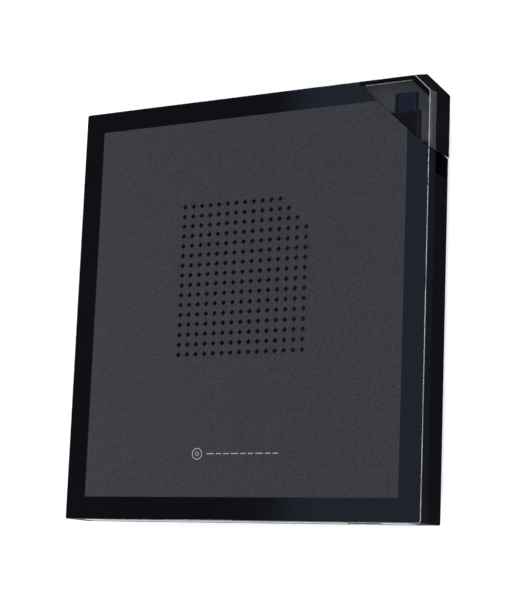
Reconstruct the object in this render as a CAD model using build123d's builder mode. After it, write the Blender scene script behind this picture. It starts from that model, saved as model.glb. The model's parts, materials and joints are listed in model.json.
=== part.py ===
from build123d import *
import os
from math import atan2, hypot, pi, sqrt, tan

# External optical drive, lying flat. Millimetres, +Z up, +Y to the rear, tray opens towards -Y.
# The origin is on the table, under the centre of the housing.

# ---------------------------------------------------------------- housing
width = 139.5                # across the lower side walls
depth = 152.5                # front wall to the foot of the leaning rear wall
strip_flare = 0.6            # side walls stand out this much at the parting line, from the lid's edge
strip_drop = 4.0             # lid face to the parting line of the two shells
z_side = 4.4                 # lower edge of the bottom shell above the table
z_cover = 3.7                # lower edge of the corner cover above the table
rear_lean = 0.32             # rear wall moves out this much for each unit down
corner_cut = 5.7             # cut off the rear right corner at the lid's face
corner_lean = 0.16           # chamfer moves out this much for each unit down
wall = 1.5                   # outer walls
lid_thick = 1.5              # lid plate
floor_thick = 1.2            # floor of the bottom shell
base_thick = 1.4             # base plate
foot_height = 1.0            # feet below the base plate
edge_round = 0.35            # lid edge
corner_round = 0.6           # upright corners
split_rear = 27.3            # corner cover's reach along the lid's rear edge, from the lid's corner
split_side = 25.3            # and along its right edge
split_gap = 0.34             # open line between the corner cover and the lid
fit_gap = 0.1                # between pieces that are only laid together

# ---------------------------------------------------------------- lid panel
panel_side = 7.95            # border beside the panel
panel_front = 7.9            # border in front of it
panel_rear = 7.4             # border behind it
panel_thick = 0.7
panel_sunk = 0.06            # panel face below the lid's face
dot_pitch = 3.5
dot_size = 2.1               # corner to corner of one diamond
dot_columns = 15
dot_rows = 16
dot_offset = (-0.2, 9.23)    # centre of the dots from the centre of the panel
dot_cut = 12                 # diamonds whose column less row reaches this are left out

# ---------------------------------------------------------------- cable and plug
cable_d = 3.4
cable_room = 0.15            # above and below the cable in its groove
groove_room = 0.5            # beside the cable in its groove
plug_inset = 13.75           # plug's centre line from the right wall
z_plug = 8.0                 # plug's centre line above the table
plug_tip_room = 2.9          # plug's tip to the lid's rear edge
shell_width = 8.34
shell_height = 2.56
shell_length = 6.7
shell_wall = 0.3
mould_width = 12.8
mould_height = 6.4
mould_length = 17.0
relief_length = 5.6
relief_wall = 0.9            # strain relief around the cable
mould_wall = 0.2             # gap beside the plug's body in its bay
notch_width = 7.2            # finger notch in the right wall
ledge_thick = 1.2            # ledge inside the finger notch
ledge_gap = 0.4              # from the plug to the ledge
cradle_thick = 1.0           # plate that grips the plug
cradle_gap = 0.15            # around the plug in it
shoulder_height = 3.2        # shoulder beside the plug's body
cradle_length = 18.0         # from the plug's tip to the plate's front edge
cradle_start = 29.9          # diagonal left edge of the plate, from the lid's corner along each edge
cradle_cut = 9.9             # cut off the plate's rear right corner
web_reach = 10.4             # web across the skirt's corner
base_lip = 0.9               # base plate's lip under the cable
plinth_round = 15.0          # corners that the cable is wound around

# ---------------------------------------------------------------- slim mechanism
mech_height = 9.5
sheet = 0.6                  # case plates
side_sheet = 0.5             # case side walls
side_room = 4.25             # housing wall to the case
disc_room = 60.6             # radius of the tray's disc recess
case_notch = 38.75           # front of the corner left out of the case, behind the hub
pocket_wall = 1.0            # walls of the plug's pocket
bezel_thick = 2.4
tray_rim = 0.5               # tray edge in front of the recess
tray_wall = 1.2
rail_sheet = 0.6
slide_gap = 0.3              # between the tray, rails and guides
hub_radius = 7.4
rotor_radius = 12.6
shaft_radius = 1.0
running_gap = 0.04
lens_radius = 24.0           # lens from the hub's centre, at rest
pickup_travel = 33.0
rod_side = 12.5              # guide rods from the pickup's centre line
screw_side = 17.5            # lead screw from the pickup's centre line
button_width = 12.0
button_height = 2.8
button_proud = 0.2           # button and light pipe in front of the bezel
button_travel = 0.6
button_gap = 0.2             # around the button, and behind it when pressed
stem_length = 1.9            # button's stem behind the bezel

# ---------------------------------------------------------------- fasteners and feet
screw_radius = 0.88
screw_hole = 0.9
head_radius = 1.7
head_thick = 0.6
head_room = 1.9              # sunk space around a head
foot_radius = 5.0
foot_sunk = 0.5              # feet let into the base plate
boss_radius = 2.6
post_radius = 2.3            # lid's screw posts
post_inset = 3.55            # rear post's axis inside the plinth's rear wall

# ---------------------------------------------------------------- heights above the table
z_base = foot_height
z_base_top = z_base + base_thick
z_cable = z_base_top + cable_room + cable_d / 2
z_floor = z_base_top + 2 * cable_room + cable_d
z_floor_top = z_floor + floor_thick
z_mech = z_floor_top + fit_gap
z_mech_top = z_mech + mech_height
z_lid_inside = z_mech_top + fit_gap
z_lid = z_lid_inside + lid_thick
z_strip = z_lid - strip_drop
z_pan = z_mech + sheet               # upper face of the case pan
z_case_cover = z_mech_top - sheet    # lower face of the case cover
z_under = z_pan + 0.2                # lower face of the tray's bottom cover
z_tray = z_under + 0.3               # lower face of the tray's walls
z_deck = z_pan + 4.6                 # lower face of the tray's deck
z_recess = z_deck + 1.0              # floor of the disc recess
z_tray_top = z_case_cover - slide_gap
z_disc = z_recess + 0.8              # where a disc would lie
z_rod = z_deck - 1.8
z_screw = z_deck - 1.6

# ---------------------------------------------------------------- places in plan
front = -depth / 2
half = width / 2
lid_width = width - 2 * strip_flare
lid_rear = depth / 2 - rear_lean * (z_lid - z_cover)
lid_corner = lid_width / 2 + lid_rear       # x + y at the lid's corner, before it is cut off
panel_width = lid_width - 2 * panel_side
panel_depth = lid_rear - panel_rear - front - panel_front
panel_y = (lid_rear - panel_rear + front + panel_front) / 2
dot_centre = (dot_offset[0], panel_y + dot_offset[1])
inner_x = half - wall
inner_front = front + wall
inner_rear = depth / 2 - rear_lean * (z_floor - 0.6 - z_cover) - wall * hypot(1, rear_lean)
groove = cable_d + groove_room
plinth_x = inner_x - groove
plinth_front = inner_front + groove
plinth_rear = inner_rear - groove
groove_x = inner_x - groove / 2
groove_front = inner_front + groove / 2
groove_rear = inner_rear - groove / 2
bezel_back = front + bezel_thick
hub_y = bezel_back + tray_rim + disc_room
case_x = inner_x - side_room
case_front = bezel_back + 0.65
case_rear = hub_y + disc_room + 3.9
plug_x = half - plug_inset
bay_x = plug_x - mould_width / 2 - mould_wall   # left side of the open bay for plug and cable
case_notch_x = bay_x - pocket_wall - 0.2
case_notch_y = hub_y + case_notch
bay_y = case_notch_y - 34.0          # front side of that bay
plug_tip = lid_rear - plug_tip_room
mould_end = plug_tip - shell_length
relief_start = mould_end - mould_length
cable_end = relief_start - relief_length
cradle_front = plug_tip - cradle_length
mould_side = plug_x + mould_width / 2
notch_rear = lid_rear - split_side + split_side / split_rear * (lid_width / 2 - half)
notch_front = notch_rear - notch_width
tray_x = case_x - side_sheet - 0.9
tray_rear = case_rear - 4.35
body_x = tray_x - 3.1                # tray walls below its deck
rail_x = tray_x + 0.05               # outer face of the rails
rail_front = case_front + 3.2
rail_rear = tray_rear - 0.4
right_rail_rear = case_notch_y - 5.0

split_plane = Plane(origin=(lid_width / 2, lid_rear - split_side, 0), z_dir=(split_side, split_rear, 0))
foot_x = half - 17.75
feet = [(-foot_x, front + 18.25), (foot_x, front + 18.25), (-foot_x, depth / 2 - 20.25),
        (bay_x - 13.4, depth / 2 - 24.25)]
mount_x = case_x - 8.0
mount_points = [(-mount_x, case_front + 31.2), (mount_x, case_front + 31.2), (-mount_x, case_rear - 17.75),
                (case_notch_x - 10.2, case_rear - 15.75)]
shell_points = [(13.25 - half, case_rear + 7.6), (bay_x - 13.4, plinth_rear - post_inset)]
window_left = -4.0                   # gland's opening in the floor
window_right = 24.0
board_left = 16.75 - half
board_right = bay_x - 3.4
board_front = case_rear + 2.6
board_depth = 9.6
board_z = z_floor_top + 5.3
board_thick = 1.0
board_points = [(board_left + 6, case_rear + 8), (window_left + 18, case_rear + 5.2)]
socket_x = -25.0
header_x = board_right - 6.0         # where the cable leaves its header under the board
header_y = case_rear + 9.24
header_z = board_z - 2.4
button_x = case_x - 18.0
button_z = z_mech + 3.7
light_x = case_x - 30.0
pinhole_x = case_x - 37.0
latch_pivot = (14.0 - case_x, tray_rear - 8.4)
latch_pin = (latch_pivot[0] + 2.6, tray_rear + 1.5)
latch_release = 12.0                 # degrees, hook swung clear of its pin


def body_section(height, inset=0.0):
    """Outline of the housing at a height, drawn in by an inset."""
    drop = z_lid - height
    side = lid_width / 2 + (width - lid_width) / 2 * min(drop / strip_drop, 1)
    rear = depth / 2 - rear_lean * (height - z_cover)
    cut = lid_corner - corner_cut + corner_lean * drop
    corners = [(-side, front), (side, front), (side, cut - side), (cut - rear, rear), (-side, rear)]
    with BuildSketch(Plane.XY.offset(height), mode=Mode.PRIVATE) as section:
        with BuildLine():
            Polyline(*corners, close=True)
        make_face()
        if inset > 0:
            offset(amount=-inset, kind=Kind.INTERSECTION)
        fillet(section.vertices(), corner_round)
    return section.sketch


def notched_section(height, side, start, end, notch_x, notch_y):
    """Rectangle with its rear right corner left out."""
    corners = [(-side, start), (side, start), (side, notch_y), (notch_x, notch_y), (notch_x, end), (-side, end)]
    with BuildSketch(Plane.XY.offset(height), mode=Mode.PRIVATE) as section:
        with BuildLine():
            Polyline(*corners, close=True)
        make_face()
    return section.sketch


def plinth_section(height, inset=0.0):
    """Outline of the plinth that the cable is wound around."""
    sketch = notched_section(height, plinth_x, plinth_front, plinth_rear, bay_x, bay_y)
    with BuildSketch(Plane.XY.offset(height), mode=Mode.PRIVATE) as section:
        add(sketch)
        outer = section.vertices().sort_by(Axis.Y)
        fillet(outer[:2], plinth_round)
        fillet(section.vertices().group_by(Axis.X)[0].sort_by(Axis.Y)[-1], plinth_round)
        fillet(section.vertices().group_by(Axis.X)[-1].sort_by(Axis.Y)[-1], 9)
        if inset:
            offset(amount=-inset, kind=Kind.INTERSECTION)
    return section.sketch


def corner_section(height, inset, reach):
    """Rear right corner of the housing's outline, as far as a reach along the lid's edges."""
    start = (lid_corner - reach) / 2
    with BuildSketch(Plane.XY.offset(height), mode=Mode.PRIVATE) as section:
        with Locations((start + depth / sqrt(2), start + depth / sqrt(2))):
            Rectangle(2 * depth, 2 * depth, rotation=45)
        add(body_section(height, inset), mode=Mode.INTERSECT)
    return section.sketch


def pickup_plane(height):
    """Plane at the hub, whose X runs from the hub along the pickup's travel."""
    return Plane(origin=(0, hub_y, height), x_dir=(-1, -1, 0), z_dir=(0, 0, 1))


def pickup_end(along, side, height):
    """Plane across the pickup's travel, facing outwards along it."""
    spot = pickup_plane(height).from_local_coords(Vector(along, side, 0))
    return Plane(origin=spot, x_dir=(1, -1, 0), z_dir=(-1, -1, 0))


os.makedirs("parts", exist_ok=True)

# ================================================================ housing
with BuildPart() as top_shell:
    loft(sections=[body_section(z_strip), body_section(z_lid)], ruled=True)
    fillet(top_shell.faces().sort_by(Axis.Z)[-1].edges(), edge_round)
    loft(
        sections=[body_section(z_strip, wall), body_section(z_lid_inside, wall)],
        ruled=True,
        mode=Mode.SUBTRACT,
    )
    with BuildSketch(Plane.XY.offset(z_lid - panel_sunk - panel_thick)):
        with Locations((0, panel_y)):
            Rectangle(panel_width + fit_gap, panel_depth + fit_gap)
    extrude(amount=panel_sunk + panel_thick, mode=Mode.SUBTRACT)
    with BuildSketch(Plane.XY.offset(z_strip)):
        with Locations((0, front + wall / 2)):
            Rectangle(2 * case_x + 2 * fit_gap, 2 * wall)
    extrude(amount=z_lid_inside - z_strip, mode=Mode.SUBTRACT)
    with BuildSketch(Plane.XY.offset(z_lid_inside)):
        with Locations(*shell_points):
            Circle(post_radius)
    extrude(amount=z_floor_top - z_lid_inside)
    with BuildSketch(Plane.XY.offset(z_lid_inside)):
        with Locations((-inner_x + 0.7, -48), (-inner_x + 0.7, 0), (-inner_x + 0.7, 44),
                       (inner_x - 0.7, -48), (inner_x - 0.7, 0)):
            Rectangle(1.1, 9)
    extrude(amount=z_strip - z_lid_inside - 3)
    with BuildSketch(Plane.XY.offset(z_floor_top)):
        with Locations(*shell_points):
            Circle(screw_hole)
    extrude(amount=6, mode=Mode.SUBTRACT)
    split(bisect_by=split_plane.offset(-split_gap / 2), keep=Keep.BOTTOM)
top_shell.part.label = "top_shell"
export_step(top_shell.part, "parts/top_shell.step")

dots = [
    (
        dot_centre[0] + dot_pitch * (column - (dot_columns - 1) / 2),
        dot_centre[1] + dot_pitch * ((dot_rows - 1) / 2 - row),
    )
    for row in range(dot_rows)
    for column in range(dot_columns)
    if column - row < dot_cut
]
with BuildPart() as top_panel:
    with BuildSketch(Plane.XY.offset(z_lid - panel_sunk - panel_thick)):
        with Locations((0, panel_y)):
            Rectangle(panel_width, panel_depth)
        with Locations(*dots):
            Rectangle(dot_size / sqrt(2), dot_size / sqrt(2), rotation=45, mode=Mode.SUBTRACT)
    extrude(amount=panel_thick)
    split(bisect_by=split_plane.offset(-split_gap / 2), keep=Keep.BOTTOM)
top_panel.part.label = "top_panel"
export_step(top_panel.part, "parts/top_panel.step")

with BuildPart() as corner_cover:
    loft(sections=[body_section(z_strip), body_section(z_lid)], ruled=True)
    fillet(corner_cover.faces().sort_by(Axis.Z)[-1].edges(), edge_round)
    loft(
        sections=[body_section(z_strip, wall), body_section(z_lid_inside, wall)],
        ruled=True,
        mode=Mode.SUBTRACT,
    )
    split(bisect_by=split_plane.offset(split_gap / 2), keep=Keep.TOP)
corner_cover.part.label = "corner_cover"
export_step(corner_cover.part, "parts/corner_cover.step")

with BuildPart() as corner_skirt:
    loft(sections=[body_section(z_cover), body_section(z_strip)], ruled=True)
    loft(sections=[body_section(z_cover, wall), body_section(z_strip, wall)], ruled=True, mode=Mode.SUBTRACT)
    split(bisect_by=split_plane.offset(split_gap / 2), keep=Keep.TOP)
    # web across the foot of the corner
    extrude(corner_section(z_cover, wall / 2, web_reach), amount=ledge_thick)
corner_skirt.part.label = "corner_skirt"
export_step(corner_skirt.part, "parts/corner_skirt.step")

z_cradle = z_floor_top + fit_gap
with BuildPart() as plug_cradle:
    with BuildSketch(Plane.XY.offset(z_cradle)) as cradle_outline:
        with Locations((case_notch_x + slide_gap, cradle_front)):
            Rectangle(depth, depth, align=(Align.MIN, Align.MIN))
        add(corner_section(z_cradle, 0, cradle_start))
        with Locations((0, cradle_front)):
            Rectangle(2 * depth, depth, align=(Align.CENTER, Align.MAX), mode=Mode.SUBTRACT)
        add(body_section(z_cradle, wall + 0.5), mode=Mode.INTERSECT)
        add(corner_section(z_cradle, 0, cradle_cut), mode=Mode.SUBTRACT)
        with Locations((plug_x, mould_end + cradle_gap)):
            Rectangle(mould_width + 2 * cradle_gap, depth, align=(Align.CENTER, Align.MAX), mode=Mode.SUBTRACT)
        with Locations((plug_x, plug_tip + cradle_gap)):
            Rectangle(shell_width + 2 * cradle_gap, depth, align=(Align.CENTER, Align.MAX), mode=Mode.SUBTRACT)
    extrude(amount=cradle_thick)
    # shoulder beside the plug's body
    with BuildSketch(Plane.XY.offset(z_cradle)):
        with Locations((mould_side + cradle_gap, cradle_front)):
            Rectangle(inner_x - 0.5 - mould_side - cradle_gap, mould_end - cradle_front, align=(Align.MIN, Align.MIN))
    extrude(amount=shoulder_height)
plug_cradle.part.label = "plug_cradle"
export_step(plug_cradle.part, "parts/plug_cradle.step")

with BuildPart() as bottom_shell:
    loft(sections=[body_section(z_side), body_section(z_strip)], ruled=True)
    loft(sections=[body_section(z_side, wall), body_section(z_strip, wall)], ruled=True, mode=Mode.SUBTRACT)
    loft(sections=[body_section(z_floor, wall / 2), body_section(z_floor_top, wall / 2)], ruled=True)
    # plinth wall around the base plate's room
    extrude(plinth_section(z_base_top), amount=z_floor - z_base_top)
    extrude(plinth_section(z_base_top, wall), amount=z_floor - z_base_top, mode=Mode.SUBTRACT)
    # bosses for the base plate's screws
    with BuildSketch(Plane.XY.offset(z_base_top)):
        with Locations(*feet):
            Circle(boss_radius)
    extrude(amount=z_floor - z_base_top)
    # posts under the bridge board
    with BuildSketch(Plane.XY.offset(z_floor_top)):
        with Locations(*board_points):
            Circle(2.2)
    extrude(amount=board_z - z_floor_top)
    # walls of the plug's pocket, then the pocket itself
    with BuildSketch(Plane.XY.offset(z_floor_top)):
        with Locations((bay_x - pocket_wall, case_notch_y + 0.2)):
            Rectangle(pocket_wall, cradle_front - case_notch_y - 0.4, align=(Align.MIN, Align.MIN))
            Rectangle(inner_x - bay_x + pocket_wall - 0.6, pocket_wall, align=(Align.MIN, Align.MIN))
    extrude(amount=z_lid_inside - fit_gap - z_floor_top)
    with BuildSketch(Plane.XY.offset(z_side)):
        with Locations((bay_x, case_notch_y + 0.2 + pocket_wall)):
            Rectangle(inner_x - bay_x, depth, align=(Align.MIN, Align.MIN))
    extrude(amount=z_lid - z_side, mode=Mode.SUBTRACT)
    # higher ceiling over the cable in front of the pocket
    with BuildSketch(Plane.XY.offset(z_floor)):
        with Locations((bay_x, bay_y)):
            Rectangle(inner_x - bay_x, case_notch_y + 3 - bay_y, align=(Align.MIN, Align.MIN))
    extrude(amount=0.4, mode=Mode.SUBTRACT)
    # finger notch in front of the corner cover, with a ledge inside it
    with BuildSketch(Plane.XY.offset(z_side)):
        with Locations((inner_x + wall / 2, notch_front - 3)):
            Rectangle(inner_x + wall / 2 - mould_side - ledge_gap, split_side, align=(Align.MAX, Align.MIN))
    extrude(amount=ledge_thick)
    with BuildSketch(Plane.XY.offset(z_side + ledge_thick)):
        with Locations((inner_x - 1, notch_front)):
            Rectangle(wall + 2, depth, align=(Align.MIN, Align.MIN))
    extrude(amount=z_strip - z_side - ledge_thick, mode=Mode.SUBTRACT)
    # tray opening
    with BuildSketch(Plane.XY.offset(z_floor_top)):
        with Locations((0, front + wall / 2)):
            Rectangle(2 * case_x + 2 * fit_gap, 2 * wall)
    extrude(amount=z_strip - z_floor_top, mode=Mode.SUBTRACT)
    # gland's opening in the floor, and the cable's way through the plinth wall
    with BuildSketch(Plane.XY.offset(z_floor)):
        with Locations((window_left, header_y)):
            Rectangle(window_right - window_left, inner_rear - 1.1 - header_y, align=(Align.MIN, Align.MIN))
    extrude(amount=floor_thick, mode=Mode.SUBTRACT)
    with BuildSketch(Plane.XY.offset(z_base_top)):
        with Locations((window_left - 1.5, plinth_rear - wall - 0.5)):
            Rectangle(22, wall + 1, align=(Align.MIN, Align.MIN))
    extrude(amount=z_floor - z_base_top, mode=Mode.SUBTRACT)
    # screw holes
    with BuildSketch(Plane.XY.offset(z_base_top)):
        with Locations(*feet):
            Circle(screw_hole)
    extrude(amount=z_floor - z_base_top, mode=Mode.SUBTRACT)
    with BuildSketch(Plane.XY.offset(z_floor)):
        with Locations(*mount_points, *shell_points):
            Circle(screw_hole)
    extrude(amount=floor_thick, mode=Mode.SUBTRACT)
    with BuildSketch(Plane.XY.offset(board_z)):
        with Locations(*board_points):
            Circle(0.8)
    extrude(amount=-4, mode=Mode.SUBTRACT)
    split(bisect_by=split_plane.offset(-split_gap / 2), keep=Keep.BOTTOM)
bottom_shell.part.label = "bottom_shell"
export_step(bottom_shell.part, "parts/bottom_shell.step")

with BuildPart() as base_plate:
    extrude(plinth_section(z_base, -base_lip), amount=base_thick)
    with BuildSketch(Plane.XY.offset(z_base)):
        with Locations(*feet):
            Circle(foot_radius + fit_gap)
    extrude(amount=foot_sunk, mode=Mode.SUBTRACT)
    with BuildSketch(Plane.XY.offset(z_base)):
        with Locations(*feet):
            Circle(head_room)
    extrude(amount=foot_sunk + head_thick, mode=Mode.SUBTRACT)
    with BuildSketch(Plane.XY.offset(z_base)):
        with Locations(*feet):
            Circle(1.0)
    extrude(amount=base_thick, mode=Mode.SUBTRACT)
base_plate.part.label = "base_plate"
export_step(base_plate.part, "parts/base_plate.step")

with BuildPart() as rubber_feet:
    with BuildSketch(Plane.XY):
        with Locations(*feet):
            Circle(foot_radius)
    extrude(amount=z_base + foot_sunk)
    fillet(rubber_feet.edges().group_by(Axis.Z)[0], 0.4)
rubber_feet.part.label = "rubber_feet"
export_step(rubber_feet.part, "parts/rubber_feet.step")

with BuildPart() as base_screws:
    with BuildSketch(Plane.XY.offset(z_base + foot_sunk)):
        with Locations(*feet):
            Circle(head_radius)
    extrude(amount=head_thick)
    with BuildSketch(Plane.XY.offset(z_base + foot_sunk + head_thick)):
        with Locations(*feet):
            Circle(screw_radius)
    extrude(amount=z_floor - 0.4 - z_base - foot_sunk - head_thick)
base_screws.part.label = "base_screws"
export_step(base_screws.part, "parts/base_screws.step")

with BuildPart() as shell_screws:
    with BuildSketch(Plane.XY.offset(z_floor - 1)):
        with Locations(*shell_points):
            Circle(head_radius)
    extrude(amount=1)
    with BuildSketch(Plane.XY.offset(z_floor)):
        with Locations(*shell_points):
            Circle(screw_radius)
    extrude(amount=5)
shell_screws.part.label = "shell_screws"
export_step(shell_screws.part, "parts/shell_screws.step")

with BuildPart() as mount_screws:
    with BuildSketch(Plane.XY.offset(z_floor - 0.8)):
        with Locations(*mount_points):
            Circle(head_radius)
    extrude(amount=0.8)
    with BuildSketch(Plane.XY.offset(z_floor)):
        with Locations(*mount_points):
            Circle(screw_radius)
    extrude(amount=z_pan - z_floor)
mount_screws.part.label = "mount_screws"
export_step(mount_screws.part, "parts/mount_screws.step")

# ================================================================ cable and plug
# Out of the bridge board's header, down through the floor, once around the plinth, up into the plug.
dive_start = window_right + 4        # run through the gland's opening
dive_end = window_left + 6
cable_route = [
    (header_x, header_y, header_z),
    (dive_start, header_y, header_z),
    (dive_end, groove_rear, z_cable),
    (-groove_x, groove_rear, z_cable),
    (-groove_x, groove_front, z_cable),
    (groove_x, groove_front, z_cable),
    (groove_x, bay_y + 6, z_cable),
    (plug_x, case_notch_y - 9, z_cable),
    (plug_x, case_notch_y + 1, z_cable),
    (plug_x, cable_end - 3, z_plug),
    (plug_x, cable_end, z_plug),
]
dive_turn = atan2(hypot(groove_rear - header_y, header_z - z_cable), dive_start - dive_end)
header_bend = min(25, 0.9 * (header_x - dive_start) / tan(dive_turn / 2))    # within the run from the header
plinth_bend = plinth_round + groove / 2
cable_radii = [header_bend, 30, plinth_bend, plinth_bend, plinth_bend, 17, 17, 12, 12]
with BuildPart() as usb_cable:
    with BuildLine() as cable_line:
        FilletPolyline(*cable_route, radius=cable_radii)
    with BuildSketch(Plane(origin=cable_route[0], z_dir=(-1, 0, 0))):
        Circle(cable_d / 2)
    sweep(path=cable_line.wires()[0])
usb_cable.part.label = "usb_cable"
export_step(usb_cable.part, "parts/usb_cable.step")
cable_length = cable_line.wires()[0].length
print("cable radii", cable_radii, "length", round(cable_length, 1))
print("cable volume over section times length", usb_cable.part.volume / (pi * cable_d**2 / 4 * cable_length))

with BuildPart() as cable_gland:
    with BuildSketch(Plane.XY.offset(z_floor)):
        with Locations((window_left, header_y)):
            Rectangle(window_right - window_left, inner_rear - 1.1 - header_y, align=(Align.MIN, Align.MIN))
    extrude(amount=floor_thick + 1.2)
    add(usb_cable.part, mode=Mode.SUBTRACT)
cable_gland.part.label = "cable_gland"
export_step(cable_gland.part, "parts/cable_gland.step")

with BuildPart() as plug_overmould:
    with BuildSketch(Plane(origin=(plug_x, relief_start, z_plug), x_dir=(1, 0, 0), z_dir=(0, 1, 0))):
        RectangleRounded(mould_width, mould_height, 2.2)
    extrude(amount=mould_length)
    fillet(plug_overmould.faces().sort_by(Axis.Y)[-1].edges(), 0.8)
    fillet(plug_overmould.faces().sort_by(Axis.Y)[0].edges(), 1.0)
    with BuildSketch(Plane(origin=(plug_x, relief_start, z_plug), z_dir=(0, -1, 0))):
        Circle(cable_d / 2 + relief_wall)
    extrude(amount=relief_length, taper=4)
plug_overmould.part.label = "plug_overmould"
export_step(plug_overmould.part, "parts/plug_overmould.step")

plug_face = Plane(origin=(plug_x, mould_end, z_plug), x_dir=(1, 0, 0), z_dir=(0, 1, 0))
with BuildPart() as plug_shell:
    with BuildSketch(plug_face):
        SlotOverall(shell_width, shell_height)
        SlotOverall(shell_width - 2 * shell_wall, shell_height - 2 * shell_wall, mode=Mode.SUBTRACT)
    extrude(amount=shell_length)
plug_shell.part.label = "plug_shell"
export_step(plug_shell.part, "parts/plug_shell.step")

with BuildPart() as plug_insert:
    with BuildSketch(plug_face):
        SlotOverall(shell_width - 2 * shell_wall, shell_height - 2 * shell_wall)
    extrude(amount=shell_length - 0.4)
    with BuildSketch(plug_face.offset(1.6)):
        Rectangle(shell_width - 1.7, 0.8)
    extrude(amount=shell_length, mode=Mode.SUBTRACT)
plug_insert.part.label = "plug_insert"
export_step(plug_insert.part, "parts/plug_insert.step")

# ================================================================ bridge electronics
with BuildPart() as bridge_board:
    with BuildSketch(Plane.XY.offset(board_z)):
        with Locations((board_left, board_front)):
            Rectangle(board_right - board_left, board_depth, align=(Align.MIN, Align.MIN))
        with Locations(*board_points):
            Circle(1.0, mode=Mode.SUBTRACT)
    extrude(amount=board_thick)
bridge_board.part.label = "bridge_board"
export_step(bridge_board.part, "parts/bridge_board.step")

with BuildPart() as board_screws:
    with BuildSketch(Plane.XY.offset(board_z + board_thick)):
        with Locations(*board_points):
            Circle(1.6)
    extrude(amount=0.8)
    with BuildSketch(Plane.XY.offset(board_z + board_thick)):
        with Locations(*board_points):
            Circle(0.78)
    extrude(amount=-board_thick - 3.6)
board_screws.part.label = "board_screws"
export_step(board_screws.part, "parts/board_screws.step")

board_top = Plane.XY.offset(board_z + board_thick)
chip_y = case_rear + 7.4
with BuildPart() as bridge_chips:
    with BuildSketch(board_top):
        with Locations((-6, chip_y)):
            Rectangle(7, 7)
        with Locations((28, chip_y)):
            Rectangle(5, 4)
    extrude(amount=0.9)
    with BuildSketch(board_top):
        with Locations((-20, chip_y)):
            RectangleRounded(8, 3.4, 1.2)
    extrude(amount=2.2)
    with BuildSketch(board_top):
        with Locations((-36, chip_y), (board_right - 8, chip_y)):
            Circle(2)
    extrude(amount=1.9)
bridge_chips.part.label = "bridge_chips"
export_step(bridge_chips.part, "parts/bridge_chips.step")

with BuildPart() as cable_header:
    with BuildSketch(Plane.XY.offset(board_z)):
        with Locations((header_x, header_y)):
            Rectangle(5.6, 6.4, align=(Align.MIN, Align.CENTER))
    extrude(amount=-4.4)
cable_header.part.label = "cable_header"
export_step(cable_header.part, "parts/cable_header.step")

socket_face = case_rear + 2.0
with BuildPart() as slimline_plug:
    with BuildSketch(Plane.XY.offset(board_z)):
        with Locations((socket_x, socket_face)):
            Rectangle(32, 5, align=(Align.CENTER, Align.MIN))
    extrude(amount=-3.8)
slimline_plug.part.label = "slimline_plug"
export_step(slimline_plug.part, "parts/slimline_plug.step")

with BuildPart() as drive_socket:
    with BuildSketch(Plane.XY.offset(z_pan)):
        with Locations((socket_x, socket_face)):
            Rectangle(28, 4.6, align=(Align.CENTER, Align.MAX))
    extrude(amount=4.6)
drive_socket.part.label = "drive_socket"
export_step(drive_socket.part, "parts/drive_socket.step")

# ================================================================ fixed half of the mechanism
with BuildPart() as case_pan:
    extrude(notched_section(z_mech, case_x, case_front, case_rear, case_notch_x, case_notch_y),
            amount=mech_height - sheet)
    extrude(
        notched_section(
            z_pan,
            case_x - side_sheet,
            case_front - 1,
            case_rear - side_sheet,
            case_notch_x - side_sheet,
            case_notch_y - side_sheet,
        ),
        amount=mech_height,
        mode=Mode.SUBTRACT,
    )
    with BuildSketch(Plane.XY.offset(z_pan)):
        with Locations((socket_x, case_rear)):
            Rectangle(28, 4)
    extrude(amount=4.6, mode=Mode.SUBTRACT)
    with BuildSketch(Plane.XY.offset(z_mech)):
        with Locations(*mount_points):
            Circle(screw_hole)
    extrude(amount=sheet, mode=Mode.SUBTRACT)
    with BuildSketch(Plane.XY.offset(z_pan)):
        with Locations(latch_pin):
            Circle(0.7)
    extrude(amount=3)
case_pan.part.label = "case_pan"
export_step(case_pan.part, "parts/case_pan.step")

with BuildPart() as case_cover:
    extrude(notched_section(z_case_cover, case_x, case_front, case_rear, case_notch_x, case_notch_y), amount=sheet)
case_cover.part.label = "case_cover"
export_step(case_cover.part, "parts/case_cover.step")

with BuildPart() as ribbon_cable:
    with BuildSketch(Plane.XY.offset(z_pan + 0.02)):
        with Locations((socket_x + 4, socket_face - 4.8)):
            Rectangle(14, 42, align=(Align.CENTER, Align.MAX))
    extrude(amount=0.13)
ribbon_cable.part.label = "ribbon_cable"
export_step(ribbon_cable.part, "parts/ribbon_cable.step")

guide_x = case_x - side_sheet - 0.1
guide_web = guide_x - rail_x - slide_gap
rail_low = z_pan + 0.8
rail_high = rail_low + 2.8
rail_reach = body_x + 0.4


def guide_section(side):
    """Section of a guide strip: a channel around the rail, open towards the tray."""
    align_x = Align.MAX if side > 0 else Align.MIN
    with BuildSketch(Plane.XZ.offset(-rail_front), mode=Mode.PRIVATE) as section:
        with Locations((side * guide_x, z_pan)):
            Rectangle(guide_x - rail_reach, rail_high + 0.7 - z_pan, align=(align_x, Align.MIN))
        with Locations((side * (guide_x - guide_web), rail_low - slide_gap)):
            Rectangle(
                guide_x,
                rail_high - rail_low + 2 * slide_gap,
                align=(align_x, Align.MIN),
                mode=Mode.SUBTRACT,
            )
    return section.sketch


def rail_section(side):
    """Section of a sheet metal rail: a channel open towards the tray."""
    align_x = Align.MAX if side > 0 else Align.MIN
    with BuildSketch(Plane.XZ.offset(-rail_front), mode=Mode.PRIVATE) as section:
        with Locations((side * rail_x, rail_low)):
            Rectangle(rail_x - rail_reach, rail_high - rail_low, align=(align_x, Align.MIN))
        with Locations((side * (rail_x - rail_sheet), rail_low + rail_sheet)):
            Rectangle(
                rail_x,
                rail_high - rail_low - 2 * rail_sheet,
                align=(align_x, Align.MIN),
                mode=Mode.SUBTRACT,
            )
    return section.sketch


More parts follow.
